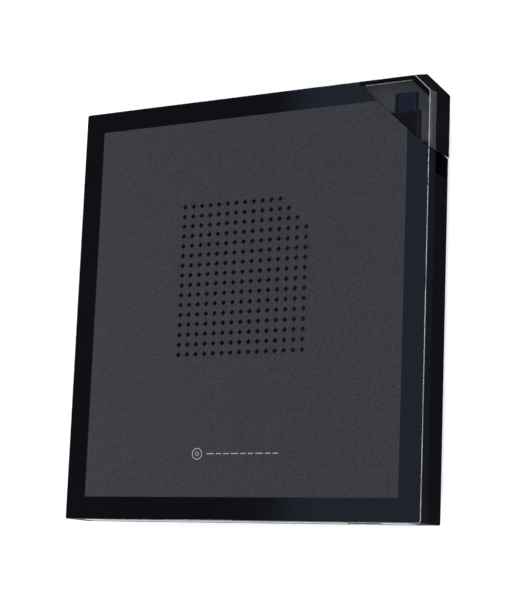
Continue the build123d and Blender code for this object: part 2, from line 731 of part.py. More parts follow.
with BuildPart() as left_rail_guide:
    extrude(guide_section(-1), amount=rail_front - rail_rear)
left_rail_guide.part.label = "left_rail_guide"
export_step(left_rail_guide.part, "parts/left_rail_guide.step")

with BuildPart() as right_rail_guide:
    extrude(guide_section(1), amount=rail_front - right_rail_rear)
right_rail_guide.part.label = "right_rail_guide"
export_step(right_rail_guide.part, "parts/right_rail_guide.step")

with BuildPart() as left_rail:
    extrude(rail_section(-1), amount=rail_front - rail_rear)
left_rail.part.label = "left_rail"
export_step(left_rail.part, "parts/left_rail.step")

with BuildPart() as right_rail:
    extrude(rail_section(1), amount=rail_front - right_rail_rear)
right_rail.part.label = "right_rail"
export_step(right_rail.part, "parts/right_rail.step")

# ================================================================ tray
tray_notch_x = case_notch_x - side_sheet - 0.5
tray_notch_y = case_notch_y - side_sheet - 0.6
frame_front = 69.0                   # far end of the traverse frame, from the hub
frame_outline = [(-17, -15.5), (66.5, -15.5), (frame_front, -13), (frame_front, 13), (61, 21.5), (-17, 21.5)]
frame_window = [(14.8, -14.2), (66, -14.2), (67.5, -12.5), (67.5, 12), (59.2, 19.6), (14.8, 19.6)]
damper_points = [(-14, -12.5), (-14, 18.5), (40, -18.5)]
cover_points = [(-11, -13), (34, 15.5), (52, -12)]
tongue_low = rail_low + rail_sheet + slide_gap
tongue_high = rail_high - rail_sheet - slide_gap
with BuildPart() as tray:
    extrude(notched_section(z_tray, body_x, bezel_back, tray_rear, tray_notch_x, tray_notch_y),
            amount=z_deck - z_tray)
    extrude(
        notched_section(
            z_tray,
            body_x - tray_wall,
            bezel_back + tray_wall,
            tray_rear - tray_wall,
            tray_notch_x - tray_wall,
            tray_notch_y - tray_wall,
        ),
        amount=z_deck - z_tray,
        mode=Mode.SUBTRACT,
    )
    extrude(notched_section(z_deck, tray_x, bezel_back, tray_rear, tray_notch_x, tray_notch_y),
            amount=z_tray_top - z_deck)
    with BuildSketch(Plane.XY.offset(z_recess)):
        with Locations((0, hub_y)):
            Circle(disc_room)
    extrude(amount=z_tray_top - z_recess, mode=Mode.SUBTRACT)
    # opening for the motor and the pickup
    with BuildSketch(pickup_plane(z_deck)):
        Circle(15)
        with Locations((7.5, 0)):
            Rectangle(58.5, 24, align=(Align.MIN, Align.CENTER))
        with Locations((6.5, 17.5)):
            Rectangle(11.6, 8.4)
    extrude(amount=z_recess - z_deck, mode=Mode.SUBTRACT)
    # tongues in the rails
    with BuildSketch(Plane.XY.offset(tongue_low)):
        with Locations((-body_x + 0.2, rail_front)):
            Rectangle(rail_x - rail_sheet - slide_gap - body_x + 0.2, rail_rear - rail_front,
                      align=(Align.MAX, Align.MIN))
        with Locations((body_x - 0.2, rail_front)):
            Rectangle(rail_x - rail_sheet - slide_gap - body_x + 0.2, right_rail_rear - rail_front,
                      align=(Align.MIN, Align.MIN))
    extrude(amount=tongue_high - tongue_low)
    # windows in the front wall for the button's stem and the light pipe, in the rear wall for the latch
    with BuildSketch(Plane.XY.offset(z_tray + 0.6)):
        with Locations((button_x, bezel_back + tray_wall / 2)):
            Rectangle(8, 2 * tray_wall)
        with Locations((light_x, bezel_back + tray_wall / 2)):
            Rectangle(3, 2 * tray_wall)
        with Locations((latch_pivot[0], tray_rear - tray_wall / 2)):
            Rectangle(8, 2 * tray_wall)
    extrude(amount=z_deck - z_tray - 1.2, mode=Mode.SUBTRACT)
    # screw holes
    with BuildSketch(pickup_plane(z_deck)):
        with Locations(*damper_points):
            Circle(1.3)
    extrude(amount=0.8, mode=Mode.SUBTRACT)
    # pivot of the latch hook
    with BuildSketch(Plane.XY.offset(z_deck)):
        with Locations(latch_pivot):
            Circle(shaft_radius)
    extrude(amount=z_tray + 0.8 - z_deck)
tray.part.label = "tray"
export_step(tray.part, "parts/tray.step")

bezel_low = z_floor_top + 0.25
bezel_high = z_lid_inside - 0.25
with BuildPart() as tray_bezel:
    with BuildSketch(Plane.XZ.offset(-bezel_back)):
        with Locations((0, (bezel_low + bezel_high) / 2)):
            RectangleRounded(2 * case_x - 0.4, bezel_high - bezel_low, 0.6)
    extrude(amount=bezel_thick)
    fillet(tray_bezel.faces().sort_by(Axis.Y)[0].edges(), 0.3)
    with BuildSketch(Plane.XZ.offset(-bezel_back)):
        with Locations((button_x, button_z)):
            RectangleRounded(button_width + 2 * button_gap, button_height + 2 * button_gap, 0.7)
        with Locations((light_x, button_z)):
            RectangleRounded(2.2, 1.2, 0.5)
        with Locations((pinhole_x, button_z)):
            Circle(0.6)
    extrude(amount=bezel_thick, mode=Mode.SUBTRACT)
tray_bezel.part.label = "tray_bezel"
export_step(tray_bezel.part, "parts/tray_bezel.step")

with BuildPart() as eject_button:
    with BuildSketch(Plane.XZ.offset(button_proud - front)):
        with Locations((button_x, button_z)):
            RectangleRounded(button_width, button_height, 0.6)
    extrude(amount=button_travel + button_gap - button_proud - bezel_thick)
    fillet(eject_button.faces().sort_by(Axis.Y)[0].edges(), 0.25)
    with BuildSketch(Plane.XZ.offset(-front)):
        with Locations((button_x, button_z)):
            Rectangle(4, 1.8)
    extrude(amount=-bezel_thick - stem_length)
eject_button.part.label = "eject_button"
export_step(eject_button.part, "parts/eject_button.step")

with BuildPart() as light_pipe:
    with BuildSketch(Plane.XZ.offset(-front)):
        with Locations((light_x, button_z)):
            RectangleRounded(2.0, 1.0, 0.45)
    extrude(amount=-bezel_thick - 2)
light_pipe.part.label = "light_pipe"
export_step(light_pipe.part, "parts/light_pipe.step")

switch_face = bezel_back + stem_length + button_travel + 0.1
with BuildPart() as front_board:
    with BuildSketch(Plane.XY.offset(z_tray + 0.3)):
        with Locations((button_x - 4, bezel_back + tray_wall + 0.3)):
            Rectangle(28, 9, align=(Align.CENTER, Align.MIN))
    extrude(amount=0.6)
front_board.part.label = "front_board"
export_step(front_board.part, "parts/front_board.step")

with BuildPart() as front_switch:
    with BuildSketch(Plane.XY.offset(z_tray + 0.9)):
        with Locations((button_x, switch_face)):
            Rectangle(6, 3.6, align=(Align.CENTER, Align.MIN))
        with Locations((light_x, bezel_back + 2.2)):
            Rectangle(2.4, 1.6, align=(Align.CENTER, Align.MIN))
    extrude(amount=2.6)
front_switch.part.label = "front_switch"
export_step(front_switch.part, "parts/front_switch.step")

with BuildPart() as tray_bottom_cover:
    extrude(notched_section(z_under, body_x - 0.2, bezel_back + 0.3, tray_rear - 0.2,
                            tray_notch_x - 0.2, tray_notch_y - 0.2), amount=z_tray - z_under)
tray_bottom_cover.part.label = "tray_bottom_cover"
export_step(tray_bottom_cover.part, "parts/tray_bottom_cover.step")

with BuildPart() as pickup_cover:
    with BuildSketch(pickup_plane(z_recess)):
        Circle(17)
        with Locations((7.5, 0)):
            Rectangle(60.5, 28, align=(Align.MIN, Align.CENTER))
        with Locations((6.5, 17.5)):
            Rectangle(14, 11)
        Circle(disc_room - 0.2, mode=Mode.INTERSECT)
        Circle(rotor_radius + 0.6, mode=Mode.SUBTRACT)
        with Locations((9, 0)):
            Rectangle(lens_radius + pickup_travel - 6.6, 12, align=(Align.MIN, Align.CENTER), mode=Mode.SUBTRACT)
    extrude(amount=0.4)
pickup_cover.part.label = "pickup_cover"
export_step(pickup_cover.part, "parts/pickup_cover.step")

with BuildPart() as cover_screws:
    with BuildSketch(pickup_plane(z_recess + 0.4)):
        with Locations(*cover_points):
            Circle(1.2)
    extrude(amount=0.2)
cover_screws.part.label = "cover_screws"
export_step(cover_screws.part, "parts/cover_screws.step")

# ================================================================ spindle
z_stator = z_tray + 0.2
z_frame = z_stator + 0.5
with BuildPart() as motor_stator:
    with BuildSketch(pickup_plane(z_stator)):
        Circle(14.8)
        with Locations((6.5, 17.5)):
            Rectangle(12, 9, mode=Mode.SUBTRACT)
    extrude(amount=0.5)
    with BuildSketch(pickup_plane(z_frame)):
        Circle(4)
    extrude(amount=3.2)
    with BuildSketch(pickup_plane(z_frame + 0.6)):
        Circle(4)
        with PolarLocations(0, 9):
            with Locations((6, 0)):
                Rectangle(6, 1.4)
            with Locations((8.6, 0)):
                Rectangle(1.2, 4.6)
    extrude(amount=2)
    with BuildSketch(pickup_plane(z_stator)):
        Circle(shaft_radius + running_gap)
    extrude(amount=5, mode=Mode.SUBTRACT)
motor_stator.part.label = "motor_stator"
export_step(motor_stator.part, "parts/motor_stator.step")

z_table = z_disc - 0.2
cup_top = z_table - 0.8
hub_top = z_disc + 1.6
with BuildPart() as turntable:
    with BuildSketch(Plane.XZ.offset(-hub_y)):
        with BuildLine():
            Polyline(
                (shaft_radius, cup_top - 0.5),
                (rotor_radius - 1.0, cup_top - 0.5),
                (rotor_radius - 1.0, z_frame + 0.4),
                (rotor_radius, z_frame + 0.4),
                (rotor_radius, cup_top),
                (rotor_radius - 0.2, z_table),
                (hub_radius, z_table),
                (hub_radius, hub_top - 0.7),
                (hub_radius - 0.8, hub_top),
                (shaft_radius, hub_top),
                close=True,
            )
        make_face()
    revolve(axis=Axis((0, hub_y, 0), (0, 0, 1)))
    with BuildSketch(pickup_plane(z_table + 0.3)):
        with PolarLocations(6.2, 3):
            Rectangle(3.4, 2.9)
    extrude(amount=1.15, mode=Mode.SUBTRACT)
turntable.part.label = "turntable"
export_step(turntable.part, "parts/turntable.step")

with BuildPart() as turntable_pad:
    with BuildSketch(pickup_plane(z_table)):
        Circle(rotor_radius - 0.5)
        Circle(rotor_radius - 3.4, mode=Mode.SUBTRACT)
    extrude(amount=0.2)
turntable_pad.part.label = "turntable_pad"
export_step(turntable_pad.part, "parts/turntable_pad.step")

with BuildPart() as rotor_magnet:
    with BuildSketch(pickup_plane(z_frame + 0.5)):
        Circle(rotor_radius - 1.0)
        Circle(rotor_radius - 2.6, mode=Mode.SUBTRACT)
    extrude(amount=2.1)
rotor_magnet.part.label = "rotor_magnet"
export_step(rotor_magnet.part, "parts/rotor_magnet.step")

with BuildPart() as spindle_shaft:
    with BuildSketch(pickup_plane(z_stator + 0.1)):
        Circle(shaft_radius)
    extrude(amount=hub_top + 0.1 - z_stator - 0.1)
spindle_shaft.part.label = "spindle_shaft"
export_step(spindle_shaft.part, "parts/spindle_shaft.step")

for number in range(3):
    with BuildPart() as clamp_claw:
        turned = pickup_plane(z_table + 0.45).rotated((0, 0, 120 * number))
        with BuildSketch(turned):
            with Locations((5.3, 0)):
                Rectangle(2.5, 2.3, align=(Align.MIN, Align.CENTER))
        extrude(amount=0.85)
        chamfer(clamp_claw.faces().sort_by(Axis.Z)[-1].edges(), 0.15)
    clamp_claw.part.label = f"clamp_claw_{number + 1}"
    export_step(clamp_claw.part, f"parts/clamp_claw_{number + 1}.step")

# ================================================================ pickup
frame_thick = z_deck - 0.2 - z_frame
with BuildPart() as traverse_frame:
    with BuildSketch(pickup_plane(z_frame)):
        with BuildLine():
            Polyline(*frame_outline, close=True)
        make_face()
        with Locations(damper_points[2]):
            Circle(3.4)
        with BuildLine():
            Polyline(*frame_window, close=True)
        make_face(mode=Mode.SUBTRACT)
        Circle(rotor_radius + 0.5, mode=Mode.SUBTRACT)
        with Locations((6.5, 17.9)):
            Rectangle(11.4, 9, mode=Mode.SUBTRACT)
        with Locations(*damper_points):
            Circle(2.4, mode=Mode.SUBTRACT)
    extrude(amount=frame_thick)
    for rod in (-rod_side, rod_side):
        with BuildSketch(pickup_end(13.6, rod, z_rod)):
            Circle(shaft_radius)
        extrude(amount=54.6, mode=Mode.SUBTRACT)
    with BuildSketch(pickup_end(60, screw_side, z_screw)):
        Circle(0.8 + running_gap)
    extrude(amount=3, mode=Mode.SUBTRACT)
    with BuildSketch(pickup_end(11, screw_side, z_screw)):
        Circle(1.5)
    extrude(amount=5, mode=Mode.SUBTRACT)
traverse_frame.part.label = "traverse_frame"
export_step(traverse_frame.part, "parts/traverse_frame.step")

with BuildPart() as frame_dampers:
    with BuildSketch(pickup_plane(z_frame)):
        with Locations(*damper_points):
            Circle(2.4)
            Circle(1.3, mode=Mode.SUBTRACT)
    extrude(amount=z_deck - z_frame)
frame_dampers.part.label = "frame_dampers"
export_step(frame_dampers.part, "parts/frame_dampers.step")

with BuildPart() as damper_screws:
    with BuildSketch(pickup_plane(z_frame)):
        with Locations(*damper_points):
            Circle(2.2)
    extrude(amount=-0.55)
    with BuildSketch(pickup_plane(z_frame)):
        with Locations(*damper_points):
            Circle(1.28)
    extrude(amount=z_deck + 0.7 - z_frame)
damper_screws.part.label = "damper_screws"
export_step(damper_screws.part, "parts/damper_screws.step")

with BuildPart() as main_guide_rod:
    with BuildSketch(pickup_end(13.6, rod_side, z_rod)):
        Circle(shaft_radius)
    extrude(amount=54.6)
main_guide_rod.part.label = "main_guide_rod"
export_step(main_guide_rod.part, "parts/main_guide_rod.step")

with BuildPart() as sub_guide_rod:
    with BuildSketch(pickup_end(13.6, -rod_side, z_rod)):
        Circle(shaft_radius)
    extrude(amount=54.6)
sub_guide_rod.part.label = "sub_guide_rod"
export_step(sub_guide_rod.part, "parts/sub_guide_rod.step")

with BuildPart() as lead_screw:
    with BuildSketch(pickup_end(12.4, screw_side, z_screw)):
        Circle(1.2)
    extrude(amount=47.2)
    with BuildSketch(pickup_end(10.4, screw_side, z_screw)):
        Circle(0.8)
    extrude(amount=52)
lead_screw.part.label = "lead_screw"
export_step(lead_screw.part, "parts/lead_screw.step")

with BuildPart() as sled_motor:
    with BuildSketch(pickup_plane(z_screw - 2.2)):
        with Locations((6.5, 17.5)):
            RectangleRounded(11, 8, 0.8)
    extrude(amount=4.3)
    with BuildSketch(pickup_end(10, screw_side, z_screw)):
        Circle(0.8 + running_gap)
    extrude(amount=3, mode=Mode.SUBTRACT)
sled_motor.part.label = "sled_motor"
export_step(sled_motor.part, "parts/sled_motor.step")

sled_low = z_frame + 0.2
sled_high = z_deck - 0.1
with BuildPart() as pickup_sled:
    with BuildSketch(pickup_plane(sled_low)):
        with Locations((lens_radius, 0)):
            Rectangle(16.8, 21.2)
        with Locations((lens_radius - 0.5, 0)):
            Rectangle(13, 2 * rod_side + 2.8)
        with Locations((lens_radius - 2, rod_side + 1)):
            Rectangle(4, 5.7, align=(Align.CENTER, Align.MIN))
    extrude(amount=sled_high - sled_low)
    with BuildSketch(pickup_plane(sled_low + 0.5)):
        with Locations((lens_radius, 0)):
            Rectangle(9.4, 12.4)
    extrude(amount=sled_high - sled_low, mode=Mode.SUBTRACT)
    with BuildSketch(pickup_end(lens_radius - 20, rod_side, z_rod)):
        Circle(shaft_radius + running_gap)
    extrude(amount=40, mode=Mode.SUBTRACT)
    with BuildSketch(pickup_end(lens_radius - 20, -rod_side - 1, z_rod)):
        Rectangle(4, 2 * shaft_radius + 0.1)
    extrude(amount=40, mode=Mode.SUBTRACT)
    with BuildSketch(pickup_end(lens_radius - 20, screw_side, z_screw)):
        Circle(1.32)
    extrude(amount=40, mode=Mode.SUBTRACT)
pickup_sled.part.label = "pickup_sled"
export_step(pickup_sled.part, "parts/pickup_sled.step")

with BuildPart() as lens_holder:
    with BuildSketch(pickup_plane(sled_low + 1)):
        with Locations((lens_radius, 0)):
            RectangleRounded(8, 11, 1)
    extrude(amount=z_deck + 0.3 - sled_low - 1)
    with BuildSketch(pickup_plane(z_deck + 0.3)):
        with Locations((lens_radius, 0)):
            Circle(1.9)
    extrude(amount=-0.6, mode=Mode.SUBTRACT)
lens_holder.part.label = "lens_holder"
export_step(lens_holder.part, "parts/lens_holder.step")

lens_rise = 0.55
dome_radius = (1.9**2 + lens_rise**2) / (2 * lens_rise)
lens_spot = pickup_plane(z_deck + 0.3).from_local_coords(Vector(lens_radius, 0, 0))
with BuildPart() as objective_lens:
    with BuildSketch(pickup_plane(z_deck - 0.3)):
        with Locations((lens_radius, 0)):
            Circle(1.9)
    extrude(amount=0.6 + lens_rise)
    with Locations((lens_spot.X, lens_spot.Y, z_deck + 0.3 + lens_rise - dome_radius)):
        Sphere(dome_radius, mode=Mode.INTERSECT)
objective_lens.part.label = "objective_lens"
export_step(objective_lens.part, "parts/objective_lens.step")

# ================================================================ latch and tray board
hook_low = z_tray + 1.0
hook_plane = Plane(origin=(*latch_pivot, hook_low)).rotated((0, 0, latch_release))
hook_length = tray_rear + 3.2 - latch_pivot[1]
with BuildPart() as latch_hook:
    with BuildSketch(hook_plane):
        Circle(2.1)
        with Locations((0, 0)):
            Rectangle(2.2, hook_length, align=(Align.CENTER, Align.MIN))
        with Locations((-1.1, hook_length)):
            Rectangle(4.5, 0.8, align=(Align.MIN, Align.MAX))
        with Locations((0, 0)):
            Rectangle(2.0, 6.0, align=(Align.CENTER, Align.MAX))
        Circle(shaft_radius + running_gap, mode=Mode.SUBTRACT)
    extrude(amount=1.4)
latch_hook.part.label = "latch_hook"
export_step(latch_hook.part, "parts/latch_hook.step")

with BuildPart() as latch_solenoid:
    with BuildSketch(Plane.XY.offset(z_tray + 0.3)):
        with Locations((latch_pivot[0] + 5.2, latch_pivot[1] - 9)):
            Rectangle(11, 6, align=(Align.MIN, Align.MIN))
    extrude(amount=3.4)
latch_solenoid.part.label = "latch_solenoid"
export_step(latch_solenoid.part, "parts/latch_solenoid.step")

with BuildPart() as tray_board:
    with BuildSketch(Plane.XY.offset(z_tray + 0.3)):
        with Locations((-28, tray_rear - 5)):
            Rectangle(66, 24, align=(Align.MIN, Align.MAX))
    extrude(amount=0.7)
tray_board.part.label = "tray_board"
export_step(tray_board.part, "parts/tray_board.step")

with BuildPart() as tray_chips:
    with BuildSketch(Plane.XY.offset(z_tray + 1.0)):
        with Locations((-10, tray_rear - 17)):
            Rectangle(12, 12)
        with Locations((10, tray_rear - 18), (26, tray_rear - 14)):
            Rectangle(7, 9)
        with Locations((-21, tray_rear - 8)):
            Rectangle(12, 3.6)
    extrude(amount=1.3)
tray_chips.part.label = "tray_chips"
export_step(tray_chips.part, "parts/tray_chips.step")
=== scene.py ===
import math

import bmesh
import bpy
from mathutils import Matrix, Vector
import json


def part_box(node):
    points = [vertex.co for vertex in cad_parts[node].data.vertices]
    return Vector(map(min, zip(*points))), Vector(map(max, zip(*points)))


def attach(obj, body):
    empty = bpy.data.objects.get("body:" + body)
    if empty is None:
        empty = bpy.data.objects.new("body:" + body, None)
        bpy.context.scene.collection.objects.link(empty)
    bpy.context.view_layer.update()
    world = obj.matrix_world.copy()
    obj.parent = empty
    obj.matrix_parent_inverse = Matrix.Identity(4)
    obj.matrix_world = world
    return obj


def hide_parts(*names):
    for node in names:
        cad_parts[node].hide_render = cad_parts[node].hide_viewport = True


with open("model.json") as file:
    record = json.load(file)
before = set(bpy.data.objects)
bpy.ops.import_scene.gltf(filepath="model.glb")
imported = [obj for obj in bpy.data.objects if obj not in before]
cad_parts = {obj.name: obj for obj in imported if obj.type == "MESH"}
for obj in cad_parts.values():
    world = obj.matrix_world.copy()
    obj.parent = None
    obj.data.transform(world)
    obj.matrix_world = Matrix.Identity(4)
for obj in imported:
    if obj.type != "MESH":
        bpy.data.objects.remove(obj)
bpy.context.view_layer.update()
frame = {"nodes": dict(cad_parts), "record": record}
nodes = frame["nodes"]

# Places that everything is worked out from
lid_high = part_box("top_shell")[1]
panel_low, panel_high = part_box("top_panel")
cover_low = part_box("corner_cover")[0]

# Sizes in metres
EDGE_HEIGHT = 0.00036        # height of the lid's rounded edge
NOTCH_REACH = 0.004          # depth of what the finger notch shows, behind the cover's front
MARK_LEFT = -0.0172          # left side of the printed mark
MARK_UP = 0.0147             # its centre line behind the panel's front edge
MARK_PROUD = 0.00003         # ink above the panel's face
MARK_SUNK = 0.00002          # and below it
DISC_RADIUS = 0.0020         # disc symbol's outer ring
BAR_START = 0.0058           # first bar from the mark's left side
BAR_HALF = 0.00016           # half of a bar's height
BAR_GAP = 0.0008
BAR_WIDTH = 0.0021
LONG_BAR = 0.0030            # every third bar
THREAD_PITCH = 0.0030
THREAD_DEPTH = 0.00028
SCREW_RADIUS = 0.0012
JOURNAL_RADIUS = 0.0008      # plain ends of the lead screw
JOURNAL_LENGTH = 0.0019
DIAGONAL_SPARE = 0.0012      # the screw's box is this much longer along its diagonal
END_PLAY = 0.0001            # the screw is set back this much from the middle of its box
FLOOR_SIZE = 6.0


# ---------------------------------------------------------------- materials
def new_material(name, colour, roughness, metallic=0.0, specular=0.5, coat=0.0, alpha=1.0):
    """Principled material with its constants on the shader's own sockets."""
    made = bpy.data.materials.new(name)
    made.use_nodes = True
    shader = made.node_tree.nodes["Principled BSDF"]
    shader.inputs["Base Color"].default_value = (*colour, 1)
    shader.inputs["Roughness"].default_value = roughness
    shader.inputs["Metallic"].default_value = metallic
    shader.inputs["Specular IOR Level"].default_value = specular
    shader.inputs["Coat Weight"].default_value = coat
    shader.inputs["Coat Roughness"].default_value = 0.04
    shader.inputs["Alpha"].default_value = alpha
    made["colour"] = colour
    made["roughness"] = roughness
    return made


def link(made, start, end):
    """Joins two sockets of a material."""
    made.node_tree.links.new(start, end)


def place(made, stretch=(1, 1, 1)):
    """Object coordinates, which are the frame's own metres, stretched along the axes."""
    tree = made.node_tree.nodes
    coordinates = tree.new("ShaderNodeTexCoord")
    mapping = tree.new("ShaderNodeMapping")
    mapping.inputs["Scale"].default_value = stretch
    link(made, coordinates.outputs["Object"], mapping.inputs["Vector"])
    return mapping.outputs["Vector"]


def noise(made, size, detail=3.0, stretch=(1, 1, 1)):
    """Noise whose features are about the given size in metres."""
    texture = made.node_tree.nodes.new("ShaderNodeTexNoise")
    texture.inputs["Scale"].default_value = 1 / size
    texture.inputs["Detail"].default_value = detail
    link(made, place(made, stretch), texture.inputs["Vector"])
    return texture.outputs["Fac"]


def spread(made, value, low, high):
    """Stretches a noise's usual band over low to high."""
    ranged = made.node_tree.nodes.new("ShaderNodeMapRange")
    ranged.inputs["From Min"].default_value = 0.3
    ranged.inputs["From Max"].default_value = 0.7
    ranged.inputs["To Min"].default_value = low
    ranged.inputs["To Max"].default_value = high
    link(made, value, ranged.inputs["Value"])
    return ranged.outputs["Result"]


def vary_colour(made, size, amount, stretch=(1, 1, 1)):
    """Mottles the base colour by an amount either way."""
    base = made["colour"]
    mix = made.node_tree.nodes.new("ShaderNodeMix")
    mix.data_type = "RGBA"
    mix.inputs["A"].default_value = (*[c * (1 - amount) for c in base], 1)
    mix.inputs["B"].default_value = (*[min(1, c * (1 + amount)) for c in base], 1)
    link(made, spread(made, noise(made, size, 4, stretch), 0, 1), mix.inputs["Factor"])
    link(made, mix.outputs["Result"], made.node_tree.nodes["Principled BSDF"].inputs["Base Color"])
    return made


def vary_roughness(made, size, amount, stretch=(1, 1, 1)):
    """Smudges the gloss by an amount either way."""
    rough = made["roughness"]
    result = spread(made, noise(made, size, 2, stretch), max(0.01, rough - amount), rough + amount)
    link(made, result, made.node_tree.nodes["Principled BSDF"].inputs["Roughness"])
    return made


def add_grain(made, size, depth, stretch=(1, 1, 1)):
    """Bump of a moulded, rolled or brushed surface, depth in metres."""
    bump = made.node_tree.nodes.new("ShaderNodeBump")
    bump.inputs["Distance"].default_value = depth
    link(made, noise(made, size, 2, stretch), bump.inputs["Height"])
    link(made, bump.outputs["Normal"], made.node_tree.nodes["Principled BSDF"].inputs["Normal"])
    return made


def finish_material(made, mottle=(0.004, 0.06), smudge=(0.012, 0.03), grain=None, stretch=(1, 1, 1)):
    """The usual three layers: colour, gloss and grain."""
    vary_colour(made, *mottle, stretch)
    vary_roughness(made, *smudge)
    if grain:
        add_grain(made, *grain, stretch)
    return made


def finished(name, colour, roughness, mottle, smudge, grain=None, stretch=(1, 1, 1), **constants):
    """New material with its three layers."""
    return finish_material(new_material(name, colour, roughness, **constants), mottle, smudge, grain, stretch)


def lid_gloss():
    """Piano black of the lid's face."""
    made = new_material("lid_gloss", (0.0008, 0.0009, 0.0014), 0.08, specular=0.5)
    return finish_material(made, (0.02, 0.1), (0.03, 0.02), (0.012, 0.000004))


def polished_edge():
    """Bright cut edge round the lid's face."""
    made = new_material("polished_edge", (0.15, 0.155, 0.17), 0.16, metallic=1.0)
    return finish_material(made, (0.004, 0.1), (0.006, 0.05), (0.0006, 0.000003))


def strip_plastic():
    """Satin band of the lid above the parting line."""
    made = new_material("strip_plastic", (0.0024, 0.0025, 0.0035), 0.35, specular=0.008)
    return finish_material(made, (0.006, 0.12), (0.01, 0.05), (0.0004, 0.000004))


def painted_shade_black():
    """Painted shade: dead black with no gloss on the chamfer, the split line's faces and the finger notch,
    where the pocket, the gap and the notch fall dark.
    """
    made = new_material("painted_shade_black", (0.004, 0.0038, 0.004), 0.6, specular=0.0)
    return finish_material(made, (0.004, 0.2), (0.01, 0.05), (0.0004, 0.000006))


def side_plastic():
    """Fine satin black of the lower shell's side walls."""
    made = new_material("side_plastic", (0.0013, 0.0013, 0.0024), 0.45, specular=0.002)
    return finish_material(made, (0.006, 0.12), (0.01, 0.05), (0.0004, 0.000006))


def panel_plastic():
    """Matte slate inlay: a fine speckle in the colour over a finer bump."""
    made = new_material("panel_plastic", (0.0125, 0.0136, 0.0172), 0.62, specular=0.2)
    vary_colour(made, 0.0007, 0.38)
    vary_roughness(made, 0.003, 0.06)
    return add_grain(made, 0.0003, 0.00003)


def smoked_clear():
    """Smoked clear plastic of the corner cover's face."""
    made = new_material("smoked_clear", (0.004, 0.0042, 0.0055), 0.05, specular=0.22, alpha=0.26)
    return vary_roughness(made, 0.02, 0.02)


def smoked_wall():
    """The smoked cover's own side wall, denser and glossier where it is seen along the moulding."""
    made = new_material("smoked_wall", (0.006, 0.0062, 0.008), 0.05, specular=0.5, alpha=0.42)
    return vary_roughness(made, 0.02, 0.02)


def base_plastic():
    """Textured black of the underside."""
    made = new_material("base_plastic", (0.012, 0.012, 0.0135), 0.55, specular=0.35)
    return finish_material(made, (0.003, 0.1), (0.01, 0.06), (0.00045, 0.00002))


def tray_plastic():
    """Moulded dark grey of the tray."""
    made = new_material("tray_plastic", (0.018, 0.018, 0.02), 0.5, specular=0.35)
    return finish_material(made, (0.004, 0.08), (0.01, 0.05), (0.0004, 0.000015))


def rubber(name="rubber", colour=(0.013, 0.013, 0.014)):
    """Dull soft black, for feet, pad and cable jacket."""
    made = new_material(name, colour, 0.78, specular=0.25)
    return finish_material(made, (0.002, 0.15), (0.004, 0.08), (0.0003, 0.00002))


def steel(name, colour, roughness, stretch=(1, 30, 1)):
    """Sheet or ground steel with its rolling or grinding direction."""
    made = new_material(name, colour, roughness, metallic=1.0)
    return finish_material(made, (0.004, 0.05), (0.003, 0.07), (0.0004, 0.000004), stretch)


def solder_mask():
    """Green board with faint copper runs under the mask."""
    made = new_material("solder_mask", (0.012, 0.09, 0.04), 0.3, specular=0.4, coat=0.2)
    tree = made.node_tree.nodes
    brick = tree.new("ShaderNodeTexBrick")
    brick.inputs["Scale"].default_value = 320
    brick.inputs["Mortar Size"].default_value = 0.06
    brick.inputs["Color1"].default_value = (0.010, 0.085, 0.036, 1)
    brick.inputs["Color2"].default_value = (0.015, 0.11, 0.05, 1)
    brick.inputs["Mortar"].default_value = (0.03, 0.17, 0.085, 1)
    link(made, place(made), brick.inputs["Vector"])
    link(made, brick.outputs["Color"], tree["Principled BSDF"].inputs["Base Color"])
    return vary_roughness(made, 0.004, 0.08)


def copper():
    """Enamelled copper of the windings."""
    made = new_material("copper", (0.62, 0.24, 0.09), 0.32, metallic=1.0)
    return finish_material(made, (0.0006, 0.25), (0.002, 0.08), (0.00025, 0.00003))


def lens_glass():
    """Coated objective lens."""
    made = new_material("lens_glass", (0.10, 0.16, 0.36), 0.03, specular=0.8, coat=1.0, alpha=0.7)
    return vary_roughness(made, 0.002, 0.01)


def light_plastic():
    """Pale diffusing light pipe."""
    made = new_material("light_plastic", (0.5, 0.58, 0.52), 0.35, specular=0.5)
    return finish_material(made, (0.001, 0.1), (0.002, 0.08))


def printed_grey():
    """Ink of the printed mark."""
    made = new_material("printed_grey", (0.20, 0.205, 0.215), 0.5, specular=0.3)
    return finish_material(made, (0.0008, 0.12), (0.002, 0.05))


